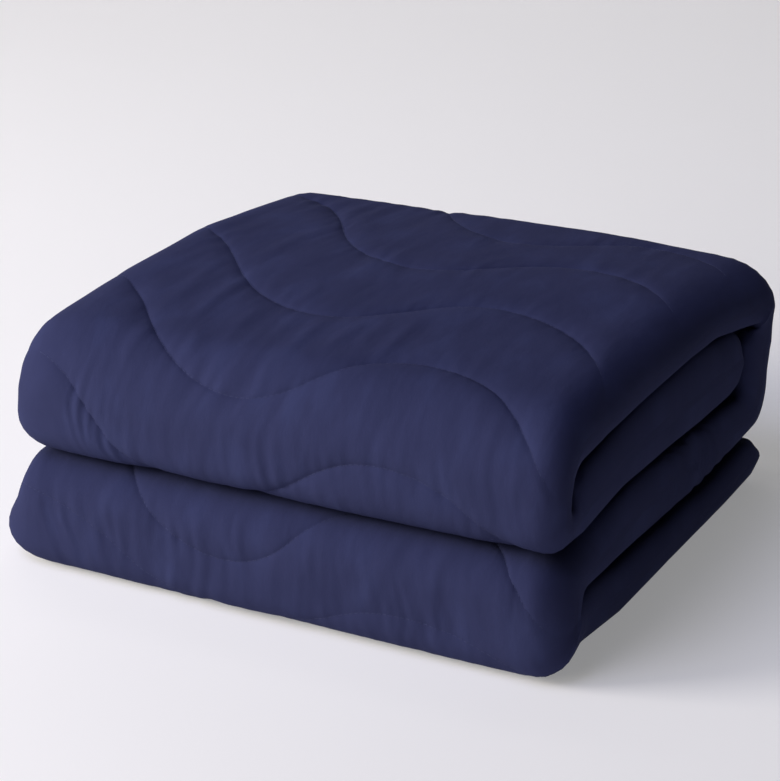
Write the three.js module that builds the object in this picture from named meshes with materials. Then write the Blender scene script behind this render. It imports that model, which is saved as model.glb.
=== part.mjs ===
// A light quilted duvet, folded for a shelf. It is folded in four across its width, and that strip is laid
// back and forth in four layers: two in the lower front fold and two in the upper one, the last tucked in.
// Millimetres. X runs along the front face, -Y is the front and +Z is up. The origin is the middle of the
// base, on the surface that the duvet lies on.
import * as THREE from 'three';

// Folded size of the stack
const WIDTH = 550;
const FRONT_LOW = -270;
const FRONT_HIGH = -260;
const BACK = 278;
const LOOSE_END = 228;
const TUCKED_END = 174;
const TOP_FRONT = 233;
const TOP_BACK = 226.5;
const TOP_MIDDLE = (TOP_FRONT + TOP_BACK) / 2 + 1;
const NOTCH = 106;
const BACK_NOTCH = 51.5;

// Unevenness of the settled stack: its crown, the sag of its right end and rise of its left, the share of
// the half width between them that stays level, its tilt, the bow of its front and back, and its lean back
const CROWN = 14;
const SAG_RIGHT = 6.6;
const RISE_LEFT = 5;
const LEVEL_MIDDLE = 0.1;
const TILT_RIGHT = 6;
const BOW_FRONT = 1.5;
const BOW_BACK = 12.5;
const LEAN = 1.6;

// Quilting: seams sewn through all plies in one wave, and the filling between them. Less of the depth is left
// on the rolls, and where the layers press on one another.
const WAVE_LENGTH = 420;
const WAVE_START = -49.5;
const WAVE_SOFTNESS = 0.81;
const SEAM_DEPTH = 5;
const SEAM_REACH = 26;
const SEAM_ROW_GAP = 9;
const SEAM_MOST_OF_CLOTH = 0.4;
const SEAM_KEPT_ON_ROLLS = 0.12;
const PRESSED = 0.35;

// Rounding of the rolled side edges, with how much lower an uneven one bulges, and of the cloth's two ends
const ROLL_SQUARENESS = 2.4;
const ROLL_LOWERED = 0.45;
const LOOSE_REACH = 15;
const TUCKED_REACH = 14;
const END_THINNEST = 0.3;

// A rounded corner takes less than half of the shorter run beside it, and one flatter than this stays sharp
const ARC_SHARE_OF_RUN = 0.49;
const STRAIGHT = 1e-6;

// How finely the surface is drawn
const BEND_STEPS = 6;
const END_STEPS = 3;
const FLAT_STEPS = 19;
const ROLL_STEPS = 6;
const SHOWN_ROWS = 5;
const HIDDEN_ROWS = 2;

const CLOTH_COLOUR = 0x2b2d5b;

function table(columns, rows) {
  return rows.map((row) => Object.fromEntries(columns.map((name, i) => [name, row[i]])));
}

// One row for each bend or change of thickness, from the loose end under the stack to the end tucked inside
// it. The cloth has an under face and an over face, named as they lie in the bottom layer. Each has a corner
// at (y, z) rounded to a radius. right and left are the half widths there. Each side edge is a roll, and
// rightUnder to leftOver are how deep it is rounded towards each face.
const BENDS = table(
  [
    'underY', 'underZ', 'underR', 'overY', 'overZ', 'overR',
    'right', 'rightUnder', 'rightOver', 'left', 'leftUnder', 'leftOver',
  ],
  [
    // bottom layer, from its loose end at the back to the front
    [LOOSE_END, 0, 0, LOOSE_END, 45, 0, 280, 16, 13, 274, 18, 13],
    [100, 0, 0, 100, 40, 200, 280, 16, 13, 275, 18, 13],
    [-110, 0, 0, -110, 50, 150, 279, 16, 13, 276, 18, 13],
    [-190, 0, 0, -194, 61, 25, 279, 34, 13, 275, 20, 13],
    // lower front fold
    [FRONT_LOW, 0, 27, -232, 48, 4, 286, 38, 12, 301, 58, 12],
    [FRONT_LOW, NOTCH, 37.5, -197, 64, 25, 280, 40, 12, 275, 26, 12],
    // middle layer
    [-104, NOTCH + 7, 80, -110, 53, 150, 276, 13, 13, 270, 13, 13],
    [100, NOTCH - 2, 200, 100, 43, 200, 276, 13, 13, 270, 13, 13],
    // fold at the back, with a crease at its inner top corner
    [192, NOTCH - 2, 14, BACK, BACK_NOTCH, 41.5, 281, 12, 24, 275, 12, 24],
    [196, 164, 12, BACK + 2, 130, 80, 281, 12, 24, 275, 12, 24],
    [230, 170, 3, BACK, TOP_BACK, 52, 284, 12, 56, 272, 12, 49],
    // top layer
    [110, 184, 150, 60, TOP_MIDDLE, 900, 276, 9, 54, 274, 12, 35],
    // upper front fold
    [-222, 184, 22, FRONT_HIGH, TOP_FRONT, 66, 275, 9, 44, 279, 12, 67],
    [-224, 131, 6, FRONT_HIGH, NOTCH + 2, 33, 275, 12, 28, 284, 12, 49],
    // inner layer, tucked back into the stack
    [-206, 173, 14, -190, NOTCH + 6, 60, 276, 13, 13, 270, 13, 13],
    [-104, 180, 150, -104, NOTCH + 10.5, 80, 276, 13, 13, 270, 13, 13],
    [90, 181, 200, 90, NOTCH + 1, 200, 276, 13, 13, 270, 13, 13],
    [TUCKED_END, 173, 0, TUCKED_END, NOTCH + 1, 0, 276, 13, 13, 270, 13, 13],
  ],
);
const EDGES = ['right', 'rightUnder', 'rightOver', 'left', 'leftUnder', 'leftOver'];

// The bend from which on the over face shows, the front of the middle layer
const MIDDLE_BEND = 6;

// One row for each seam, with its place along the cloth, the swing of its wave, how far the wave is shifted
// to the right, its drift along the cloth from left to right, its share of the full depth, and the rows of
// points in the channel that follows. The wave turns over in the hidden middle layer, so that it dips the
// same way on both front folds. The first row is the straight loose end.
const SEAMS = table(
  ['along', 'swing', 'shift', 'drift', 'depth', 'rows'],
  [
    [0, 0, 0, 0, 0, HIDDEN_ROWS],
    [150, -40, 0, -0.05, PRESSED, HIDDEN_ROWS],
    [280, -50, -2, -0.1, PRESSED, HIDDEN_ROWS],
    [408, -44, -4, -0.12, PRESSED, HIDDEN_ROWS],
    [538, -31, -1, -0.11, 0.4, SHOWN_ROWS],
    [627, -67, -14, -0.15, 0.85, SHOWN_ROWS],
    [773, -28, -6, -0.07, PRESSED, HIDDEN_ROWS],
    [917, 8, 5, 0.08, PRESSED, HIDDEN_ROWS],
    [1065, 34, 15, 0.22, PRESSED, SHOWN_ROWS],
    [1204, 53, 35, 0.34, 0.7, SHOWN_ROWS],
    [1343, 68, 53, 0.43, 0.5, SHOWN_ROWS],
    [1491, 62, 11, 0.28, 1, SHOWN_ROWS],
    [1644, 60, -14, 0.24, 1, SHOWN_ROWS],
    [1789, 58, -19, 0.21, 1, SHOWN_ROWS],
    [1908, 49, -37, 0.13, 1, SHOWN_ROWS],
    [2042, 46, -22, 0.11, PRESSED, HIDDEN_ROWS],
    [2170, 42, 0, 0.09, PRESSED, HIDDEN_ROWS],
    [2285, 28, 0, 0.05, PRESSED, HIDDEN_ROWS],
  ],
);

// A face's profile through its corners: straight runs and arcs, each in the same number of steps, so that
// the two faces of the cloth have matching points.
function roundedProfile(corners) {
  const points = [corners[0].at];
  let start = corners[0].at;
  corners.forEach((corner, i) => {
    if (i === 0) return;
    const next = corners[i + 1];
    const arc = next ? cornerArc(corners[i - 1].at, corner, next.at) : [corner.at];
    for (let k = 1; k <= BEND_STEPS; k++) points.push(start.clone().lerp(arc[0], k / BEND_STEPS));
    points.push(...arc.slice(1));
    start = arc[arc.length - 1];
  });
  return points;
}

// The points of the arc that rounds one corner, from its start to its end.
function cornerArc(before, corner, after) {
  const toBefore = before.clone().sub(corner.at);
  const toAfter = after.clone().sub(corner.at);
  const room = Math.min(toBefore.length(), toAfter.length()) * ARC_SHARE_OF_RUN;
  toBefore.normalize();
  toAfter.normalize();
  const half = Math.acos(THREE.MathUtils.clamp(toBefore.dot(toAfter), -1, 1)) / 2;
  const reach = Math.min(corner.radius / Math.max(Math.tan(half), STRAIGHT), room);
  const radius = reach * Math.tan(half);
  const middle = toBefore.clone().add(toAfter).normalize().multiplyScalar(radius / Math.sin(half));
  const centre = corner.at.clone().add(middle);
  const first = corner.at.clone().addScaledVector(toBefore, reach).sub(centre);
  const last = corner.at.clone().addScaledVector(toAfter, reach).sub(centre);
  const turn = Math.atan2(first.cross(last), first.dot(last));
  const points = [];
  for (let k = 0; k <= BEND_STEPS; k++) {
    points.push(first.clone().rotateAround(new THREE.Vector2(), (turn * k) / BEND_STEPS).add(centre));
  }
  return points;
}

// A sine or cosine squared off, so that a round becomes a softly squared one.
function squared(value) {
  return Math.sign(value) * Math.abs(value) ** (2 / ROLL_SQUARENESS);
}

// Stations of one end of the cloth, where its two faces draw together in a rounded edge.
function endStations(edge, inner, reach) {
  const middle = edge.under.clone().add(edge.over).multiplyScalar(0.5);
  const innerMiddle = inner.under.clone().add(inner.over).multiplyScalar(0.5);
  const outward = middle.clone().sub(innerMiddle).normalize();
  const stations = [];
  for (let k = 1; k <= END_STEPS; k++) {
    const angle = ((k / END_STEPS) * Math.PI) / 2;
    const thickness = Math.max(squared(Math.cos(angle)), END_THINNEST);
    const shift = outward.clone().multiplyScalar(reach * squared(Math.sin(angle)));
    stations.push({
      ...edge,
      under: middle.clone().lerp(edge.under, thickness).add(shift),
      over: middle.clone().lerp(edge.over, thickness).add(shift),
    });
  }
  return stations;
}

// Gives every station the sizes of its side edges, mixed by length between the bends beside it.
function giveEdges(all, bendAlong) {
  const last = BENDS.length - 1;
  for (const station of all) {
    const next = THREE.MathUtils.clamp(bendAlong.findIndex((along) => along >= station.along), 1, last);
    const bend = station.along > bendAlong[last] ? last : next;
    const share = THREE.MathUtils.clamp(
      (station.along - bendAlong[bend - 1]) / (bendAlong[bend] - bendAlong[bend - 1]), 0, 1,
    );
    for (const name of EDGES) {
      station[name] = THREE.MathUtils.lerp(BENDS[bend - 1][name], BENDS[bend][name], share);
    }
  }
}

// All stations along the cloth, each with the point of both faces, the sizes of the side edges and the
// length along the face that shows: the under face up to the middle layer, and the over face from there on.
function clothStations() {
  const corners = (y, z, radius) => BENDS.map((row) => {
    const at = new THREE.Vector2(row[y], row[z]);
    return { at, radius: row[radius] };
  });
  const under = roundedProfile(corners('underY', 'underZ', 'underR'));
  const over = roundedProfile(corners('overY', 'overZ', 'overR'));
  const lastBend = BENDS.length - 1;
  const places = BENDS.map((_, i) => i * 2 * BEND_STEPS - BEND_STEPS / 2);
  places[0] = 0;
  places[lastBend] = under.length - 1;
  const stations = under.map((point, k) => {
    const bend = Math.max(places.findIndex((place) => place >= k), 1);
    const share = (k - places[bend - 1]) / (places[bend] - places[bend - 1]);
    return {
      under: point,
      over: over[k],
      overShows: THREE.MathUtils.clamp(bend - 1 + share - MIDDLE_BEND, 0, 1),
    };
  });
  const all = [
    ...endStations(stations[0], stations[1], LOOSE_REACH).reverse(),
    ...stations,
    ...endStations(stations.at(-1), stations.at(-2), TUCKED_REACH),
  ];
  all[0].along = 0;
  for (let i = 1; i < all.length; i++) {
    const underStep = all[i].under.distanceTo(all[i - 1].under);
    const overStep = all[i].over.distanceTo(all[i - 1].over);
    all[i].along = all[i - 1].along + THREE.MathUtils.lerp(underStep, overStep, all[i].overShows);
  }
  giveEdges(all, places.map((place) => THREE.MathUtils.lerp(
    stations[Math.floor(place)].along, stations[Math.ceil(place)].along, place - Math.floor(place),
  )));
  return all;
}

const STATIONS = clothStations();
const CLOTH_LENGTH = STATIONS.at(-1).along;

// The cloth at any length along it, between the two stations beside it.
function stationAt(along) {
  const wanted = THREE.MathUtils.clamp(along, 0, CLOTH_LENGTH);
  const next = Math.max(STATIONS.findIndex((station) => station.along >= wanted), 1);
  const [a, b] = [STATIONS[next - 1], STATIONS[next]];
  const share = (wanted - a.along) / (b.along - a.along);
  return {
    ...Object.fromEntries(EDGES.map((name) => [name, THREE.MathUtils.lerp(a[name], b[name], share)])),
    under: a.under.clone().lerp(b.under, share),
    over: a.over.clone().lerp(b.over, share),
  };
}

// The points once round the cloth: face runs from 1 on the over face to -1 on the under face, across from -1
// at the left roll to 1 at the right roll, and out from 0 on the flats to 1 or -1 outside the two rolls.
function ringPoints() {
  const flat = [...Array(FLAT_STEPS + 1).keys()].map((i) => (2 * i) / FLAT_STEPS - 1);
  const angles = [...Array(ROLL_STEPS - 1).keys()].map((i) => (Math.PI * (i + 1)) / ROLL_STEPS);
  const roll = angles.map((angle) => ({ face: squared(Math.cos(angle)), out: squared(Math.sin(angle)) }));
  return [
    ...flat.map((across) => ({ face: 1, across, out: 0 })),
    ...roll.map(({ face, out }) => ({ face, across: 1, out })),
    ...flat.map((across) => ({ face: -1, across: -across, out: 0 })),
    ...roll.map(({ face, out }) => ({ face: -face, across: -1, out: -out })),
  ];
}

// The wave of a seam, from -1 to 1: a cosine whose flanks are steepened.
function wave(x) {
  const phase = (2 * Math.PI * (x - WAVE_START)) / WAVE_LENGTH;
  return Math.cos(phase) / Math.hypot(Math.cos(phase), WAVE_SOFTNESS * Math.sin(phase));
}

// Where a seam crosses a place across the cloth. It is sewn through the cloth, so it runs alike on both faces.
function seamAlong(seam, x) {
  return seam.along + seam.swing * wave(x - seam.shift) + seam.drift * x;
}

// Depth of the quilting at a distance from a seam: a crease at the seam, level with the face at the reach. It
// fades on the rolls, where the folded plies fill it out.
function quiltDepth(seam, distance, point) {
  const kept = THREE.MathUtils.lerp(1, SEAM_KEPT_ON_ROLLS, Math.abs(point.out));
  return seam.depth * kept * SEAM_DEPTH * Math.max(1 - distance / SEAM_REACH, 0) ** 2;
}

// The settled stack: crowned in the middle, lower at the right and higher at the left, its front and back
// bowed outwards. The higher a point lies, the more it is moved.
function settle(point) {
  const lift = point.z / TOP_FRONT;
  const side = point.x / (WIDTH / 2);
  const depth = point.y / -FRONT_HIGH;
  const end = Math.max((Math.abs(side) - LEVEL_MIDDLE) / (1 - LEVEL_MIDDLE), 0) ** 2;
  const ends = side > 0 ? -SAG_RIGHT * end : RISE_LEFT * end;
  const bow = (1 - side ** 2) * THREE.MathUtils.clamp(depth, -1, 1) * (depth > 0 ? BOW_BACK : BOW_FRONT);
  point.y += LEAN * lift + bow;
  point.z += lift * (CROWN * (1 - depth ** 2) + ends + TILT_RIGHT * side);
  return point;
}

// The place across the cloth of a ring point. The flats end where the rolls begin.
function placeAcross(station, point, sunk = 0) {
  const right = point.face > 0 ? station.rightOver : station.rightUnder;
  const left = point.face > 0 ? station.leftOver : station.leftUnder;
  const flat = THREE.MathUtils.lerp(left - station.left, station.right - right, (point.across + 1) / 2);
  return flat + ((point.across > 0 ? right : left) - sunk) * point.out;
}

// The place of a ring point at a length along the cloth, sunk into it by the depth of the quilting. Where an
// edge is rounded more deeply towards its over face, it bulges lower.
function clothPoint(along, point, depth) {
  const station = stationAt(along);
  const middle = station.under.clone().add(station.over).multiplyScalar(0.5);
  const half = station.over.clone().sub(middle);
  const sunk = Math.min(depth, SEAM_MOST_OF_CLOTH * half.length());
  const [under, over] = point.across > 0
    ? [station.rightUnder, station.rightOver]
    : [station.leftUnder, station.leftOver];
  const lowered = (ROLL_LOWERED * (over - under)) / (over + under);
  const face = point.face - lowered * (1 - point.face ** 2);
  middle.addScaledVector(half, face * (1 - sunk / half.length()));
  return settle(new THREE.Vector3(placeAcross(station, point, sunk), middle.x, middle.y));
}

// The shares of a channel at which a row of points is drawn: on the seam, close on both sides of it, and
// evenly between.
function channelShares(gap, inner) {
  const close = SEAM_ROW_GAP / gap;
  const between = [...Array(inner).keys()].map((i) => close + ((1 - 2 * close) * (i + 1)) / (inner + 1));
  return [0, close, ...between, 1 - close];
}

// The rows of points along the cloth. They follow the seams, so that each seam is one crisp crease.
function clothRows(ring) {
  const end = { along: CLOTH_LENGTH, swing: 0, shift: 0, drift: 0, depth: 0 };
  const lines = [...SEAMS, end];
  const rows = [];
  SEAMS.forEach((seam, i) => {
    const next = lines[i + 1];
    const gap = next.along - seam.along;
    channelShares(gap, seam.rows).forEach((share) => {
      const station = stationAt(seam.along + share * gap);
      rows.push(ring.map((point) => {
        const x = placeAcross(station, point);
        const along = THREE.MathUtils.lerp(seamAlong(seam, x), seamAlong(next, x), share);
        const fromSeam = quiltDepth(seam, share * gap, point);
        const fromNext = quiltDepth(next, (1 - share) * gap, point);
        return clothPoint(along, point, Math.max(fromSeam, fromNext));
      }));
    });
  });
  rows.push(ring.map((point) => clothPoint(CLOTH_LENGTH, point, 0)));
  return rows;
}

// A closed mesh from rings of points: quads between the rings, each split along its shorter diagonal, and a
// strip across the flat ring at each end of the cloth.
function closedGeometry(rows) {
  const count = rows[0].length;
  const index = [];
  const at = (i, j) => i * count + (j % count);
  for (let i = 0; i + 1 < rows.length; i++) {
    for (let j = 0; j < count; j++) {
      const k = (j + 1) % count;
      const [a, b, c, d] = [at(i, j), at(i, k), at(i + 1, k), at(i + 1, j)];
      const direct = rows[i][j].distanceTo(rows[i + 1][k]) < rows[i][k].distanceTo(rows[i + 1][j]);
      index.push(...(direct ? [a, c, b, a, d, c] : [a, d, b, b, d, c]));
    }
  }
  const opposite = (j) => (2 * FLAT_STEPS + ROLL_STEPS - j + count) % count;
  [0, rows.length - 1].forEach((i) => {
    for (let j = -ROLL_STEPS / 2; j < FLAT_STEPS + ROLL_STEPS / 2; j++) {
      const [a, b] = [j, j + 1].map((step) => at(i, step + count));
      const [c, d] = [j + 1, j].map((step) => at(i, opposite(step)));
      const first = i === 0 ? [a, b, c] : [c, b, a];
      const second = i === 0 ? [a, c, d] : [d, c, a];
      if (b !== c) index.push(...first);
      if (a !== d) index.push(...second);
    }
  });
  const geometry = new THREE.BufferGeometry().setFromPoints(rows.flat());
  geometry.setIndex(index);
  geometry.computeVertexNormals();
  return geometry;
}

function makeDuvet() {
  const geometry = closedGeometry(clothRows(ringPoints()));
  geometry.computeBoundingBox();
  const centre = geometry.boundingBox.getCenter(new THREE.Vector3());
  geometry.translate(-centre.x, -centre.y, -geometry.boundingBox.min.z);
  const cloth = new THREE.MeshStandardMaterial({ color: CLOTH_COLOUR, roughness: 0.85, metalness: 0 });
  const mesh = new THREE.Mesh(geometry, cloth);
  mesh.name = 'duvet';
  return mesh;
}

const foldedDuvet = new THREE.Group();
foldedDuvet.add(makeDuvet());

export default foldedDuvet;
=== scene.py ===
"""A light quilted duvet folded for a shelf: its looks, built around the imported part.

The cloth strip is laid back and forth in four layers, as in the part's own source. Its two faces
are worked out as whole numpy arrays from two short tables, one of the bends of the cloth and one of
its seams, and get what the solid leaves out: crisp stitched seams, soft folds and thread. Sizes in
the tables are in millimetres, and meshes are in metres in the part's frame.
"""

from __future__ import annotations

import logging
import math
from dataclasses import astuple, dataclass, field
from enum import Enum

import bpy
import numpy as np
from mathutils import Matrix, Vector

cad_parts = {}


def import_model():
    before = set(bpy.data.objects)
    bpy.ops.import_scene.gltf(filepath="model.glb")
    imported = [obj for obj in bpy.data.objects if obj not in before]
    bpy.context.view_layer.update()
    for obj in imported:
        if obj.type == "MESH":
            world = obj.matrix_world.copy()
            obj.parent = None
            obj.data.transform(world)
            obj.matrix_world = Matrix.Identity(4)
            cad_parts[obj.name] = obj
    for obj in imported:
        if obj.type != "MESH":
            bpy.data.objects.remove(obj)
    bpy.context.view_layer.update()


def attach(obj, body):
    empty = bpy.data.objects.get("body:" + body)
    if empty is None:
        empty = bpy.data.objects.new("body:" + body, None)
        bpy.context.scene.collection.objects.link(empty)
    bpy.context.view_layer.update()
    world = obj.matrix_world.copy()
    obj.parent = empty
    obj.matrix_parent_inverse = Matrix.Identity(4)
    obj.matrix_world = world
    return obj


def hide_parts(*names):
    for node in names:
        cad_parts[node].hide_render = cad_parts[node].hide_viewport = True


LOG = logging.getLogger("duvet")
MM = 0.001

# The least length to divide by, the cells of the noise before it repeats, and the usual size of the
# root that makes its ridges
NEVER_ZERO = 1e-9
LATTICE = 64
RIDGE_LEVEL = 0.36


# Numbers and noise


def smooth(low: float, high: float, value: np.ndarray) -> np.ndarray:
    """Eases from 0 at low to 1 at high: 3t squared minus 2t cubed, where t is the clamped share.

    Args:
        low: Where the step begins. It may be above high, and the step then falls.
        high: Where the step ends.
        value: The values to ease.

    Returns:
        The eased values, from 0 to 1.
    """
    share = np.clip((value - low) / (high - low), 0.0, 1.0)
    return share * share * (3.0 - 2.0 * share)


def rumple(u: np.ndarray, v: np.ndarray, cell: tuple[float, float], seed: int) -> np.ndarray:
    """Gradient noise, about -1 to 1, one wave to each cell or two.

    Each corner of a lattice has a random slope. Between the corners, the four planes through them
    are blended with 6t^5 - 15t^4 + 10t^3, and 1.5 times that is the noise.

    Args:
        u: First coordinate of each point, in millimetres.
        v: Second coordinate of each point, in millimetres.
        cell: Size of a lattice cell along u and v, in millimetres.
        seed: Seed of the random slopes.

    Returns:
        The noise at each point.
    """
    turn = np.random.default_rng(seed).uniform(0.0, 2.0 * math.pi, (LATTICE, LATTICE))
    slope_u, slope_v = np.cos(turn), np.sin(turn)
    gu, gv = u / cell[0], v / cell[1]
    iu, iv = np.floor(gu).astype(int), np.floor(gv).astype(int)
    fu, fv = gu - iu, gv - iv
    eu = fu**3 * (fu * (6.0 * fu - 15.0) + 10.0)
    ev = fv**3 * (fv * (6.0 * fv - 15.0) + 10.0)

    def plane(du: int, dv: int) -> np.ndarray:
        """Height of the plane through one corner of the cell."""
        corner = (iu + du) % LATTICE, (iv + dv) % LATTICE
        return slope_u[corner] * (fu - du) + slope_v[corner] * (fv - dv)

    low = plane(0, 0) * (1.0 - eu) + plane(1, 0) * eu
    high = plane(0, 1) * (1.0 - eu) + plane(1, 1) * eu
    return 1.5 * (low * (1.0 - ev) + high * ev)


@dataclass(frozen=True)
class Ripples:
    """One noise laid over the cloth.

    cell is the size of its cells across and along the cloth, in millimetres. height is what it is
    multiplied by, and rounding is how round the valleys between its ridges are.
    """

    cell: tuple[float, float]
    seed: int
    height: float = 1.0
    rounding: float = 0.0

    def at(self, across: np.ndarray, along: np.ndarray) -> np.ndarray:
        """The noise at each place of the cloth."""
        return self.height * rumple(across, along, self.cell, self.seed)

    def ridges(self, across: np.ndarray, along: np.ndarray) -> np.ndarray:
        """Round ridges between thin valleys: the root of the squared noise plus the rounding.

        The usual size of that root is taken off, so that the ridges lie about zero.
        """
        return np.sqrt(self.at(across, along) ** 2 + self.rounding) - RIDGE_LEVEL


# The folded cloth


@dataclass(frozen=True)
class Bend:
    """One bend, or change of thickness, of the cloth.

    under and over are the corners (y, z, radius) of its two faces there. right and left are its
    side edges (half width, under roll, over roll): a roll is how deep the edge is rounded towards
    that face.
    """

    under: tuple[float, float, float]
    over: tuple[float, float, float]
    right: tuple[float, float, float]
    left: tuple[float, float, float]


@dataclass(frozen=True)
class Seam:
    """One sewn seam: its place along the cloth, its wave's swing and shift, its drift and depth.

    The depth is a share of the full one, as layers that lie on one another press the quilting flat.
    """

    along: float
    swing: float
    shift: float
    drift: float
    depth: float


@dataclass(frozen=True)
class DrawnFold:
    """One fold that is drawn by itself: a straight groove with a low swell on both its sides.

    Its ends are places (x, along) in millimetres. So are its depth and the reach of its groove.
    """

    start: tuple[float, float]
    end: tuple[float, float]
    depth: float
    reach: float

    def height(self, x: np.ndarray, along: np.ndarray) -> np.ndarray:
        """Height of the face near the fold.

        Across it, the groove falls as a bell curve and the swell as one of twice the width and a
        third of the height. Both fade in and out near the ends.
        """
        start, end = np.array(self.start), np.array(self.end)
        length = np.linalg.norm(end - start)
        heading = (end - start) / length
        share = ((x - start[0]) * heading[0] + (along - start[1]) * heading[1]) / length
        aside = ((along - start[1]) * heading[0] - (x - start[0]) * heading[1]) / self.reach
        fade = smooth(-0.15, 0.25, share) * smooth(1.15, 0.75, share)
        return self.depth * fade * (np.exp(-((aside / 2.0) ** 2)) / 3.0 - np.exp(-(aside**2)))


# The part's own sizes: places in the folded stack, the middle of its base in x and y, and the share
# of a seam's depth that is left between layers
LOOSE_END, TUCKED_END = 228.0, 174.0
FRONT_LOW, FRONT_HIGH, BACK = -270.0, -260.0, 278.0
NOTCH, BACK_NOTCH = 106.0, 51.5
TOP_FRONT, TOP_BACK = 233.0, 226.5
TOP_MIDDLE = (TOP_FRONT + TOP_BACK) / 2 + 1
MIDDLE = (-6.191, 11.035)
PRESSED = 0.35

# The part's own bends, but for the right edge of the top, which is rounded more closely here
BENDS = (
    # bottom layer, from its loose end at the back to the front
    Bend((LOOSE_END, 0, 0), (LOOSE_END, 45, 0), (280, 16, 13), (274, 18, 13)),
    Bend((100, 0, 0), (100, 40, 200), (280, 16, 13), (275, 18, 13)),
    Bend((-110, 0, 0), (-110, 50, 150), (279, 16, 13), (276, 18, 13)),
    Bend((-190, 0, 0), (-194, 61, 25), (279, 34, 13), (275, 20, 13)),
    # lower front fold
    Bend((FRONT_LOW, 0, 27), (-232, 48, 4), (286, 38, 12), (301, 58, 12)),
    Bend((FRONT_LOW, NOTCH, 37.5), (-197, 64, 25), (280, 40, 12), (275, 26, 12)),
    # middle layer
    Bend((-104, NOTCH + 7, 80), (-110, 53, 150), (276, 13, 13), (270, 13, 13)),
    Bend((100, NOTCH - 2, 200), (100, 43, 200), (276, 13, 13), (270, 13, 13)),
    # fold at the back, with a crease at its inner top corner
    Bend((192, NOTCH - 2, 14), (BACK, BACK_NOTCH, 41.5), (281, 12, 24), (275, 12, 24)),
    Bend((196, 164, 12), (BACK + 2, 130, 80), (281, 12, 24), (275, 12, 24)),
    Bend((230, 170, 3), (BACK, TOP_BACK, 52), (287, 12, 66), (272, 12, 49)),
    # top layer
    Bend((110, 184, 150), (60, TOP_MIDDLE, 900), (277, 9, 62), (274, 12, 35)),
    # upper front fold
    Bend((-222, 184, 22), (FRONT_HIGH, TOP_FRONT, 66), (275, 9, 34), (279, 12, 67)),
    Bend((-224, 131, 6), (FRONT_HIGH, NOTCH + 2, 33), (275, 12, 28), (284, 12, 49)),
    # inner layer, tucked back into the stack
    Bend((-206, 173, 14), (-190, NOTCH + 6, 60), (276, 13, 13), (270, 13, 13)),
    Bend((-104, 180, 150), (-104, NOTCH + 10.5, 80), (276, 13, 13), (270, 13, 13)),
    Bend((90, 181, 200), (90, NOTCH + 1, 200), (276, 13, 13), (270, 13, 13)),
    Bend((TUCKED_END, 173, 0), (TUCKED_END, NOTCH + 1, 0), (276, 13, 13), (270, 13, 13)),
)

SEAMS = (
    Seam(0, 0, 0, 0, 0),
    Seam(150, -40, 0, -0.05, PRESSED),
    Seam(280, -50, -2, -0.1, PRESSED),
    Seam(408, -44, -4, -0.12, PRESSED),
    Seam(538, -31, -1, -0.11, 0.4),
    Seam(627, -67, -14, -0.15, 0.85),
    Seam(773, -28, -6, -0.07, PRESSED),
    Seam(917, 8, 5, 0.08, PRESSED),
    Seam(1065, 34, 15, 0.22, PRESSED),
    Seam(1204, 53, 35, 0.34, 0.7),
    Seam(1343, 68, 53, 0.43, 0.5),
    Seam(1491, 62, 11, 0.28, 1),
    Seam(1644, 60, -14, 0.24, 1),
    Seam(1789, 58, -19, 0.21, 1),
    Seam(1908, 49, -37, 0.13, 1),
    Seam(2042, 46, -22, 0.11, PRESSED),
    Seam(2170, 42, 0, 0.09, PRESSED),
    Seam(2285, 28, 0, 0.05, PRESSED),
)

# The folds that stand out, first on the top and then on the lower front
DRAWN_FOLDS = (
    DrawnFold((-149, 1468), (-152, 1590), 1.1, 8),
    DrawnFold((-180, 1615), (-163, 1735), 0.9, 8),
    DrawnFold((-139, 1632), (-133, 1750), 1.5, 8),
    DrawnFold((-157, 1778), (-160, 1828), 1.3, 9),
    DrawnFold((-115, 1762), (-105, 1805), 0.9, 7),
    DrawnFold((-87, 1708), (-90, 1756), 1.2, 9),
    DrawnFold((-66, 1632), (-62, 1670), 0.9, 8),
    DrawnFold((-49, 1704), (-47, 1750), 0.9, 8),
    DrawnFold((-22, 1702), (-16, 1794), 1.3, 8),
    DrawnFold((18, 1704), (12, 1770), 1.5, 10),
    DrawnFold((37, 1690), (39, 1745), 0.9, 8),
    DrawnFold((64, 1670), (70, 1762), 1.1, 8),
    DrawnFold((-163, 620), (-172, 572), 1.0, 8),
    DrawnFold((-97, 604), (-104, 575), 1.1, 6),
    DrawnFold((-72, 608), (-70, 540), 1.3, 5),
    DrawnFold((-46, 614), (-44, 580), 0.9, 6),
    DrawnFold((-28, 616), (-27, 580), 0.9, 6),
    DrawnFold((35, 582), (35, 540), 1.0, 7),
    DrawnFold((131, 622), (97, 552), 1.3, 10),
    DrawnFold((154, 626), (128, 572), 1.0, 8),
    DrawnFold((175, 627), (165, 582), 0.9, 8),
)


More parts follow.
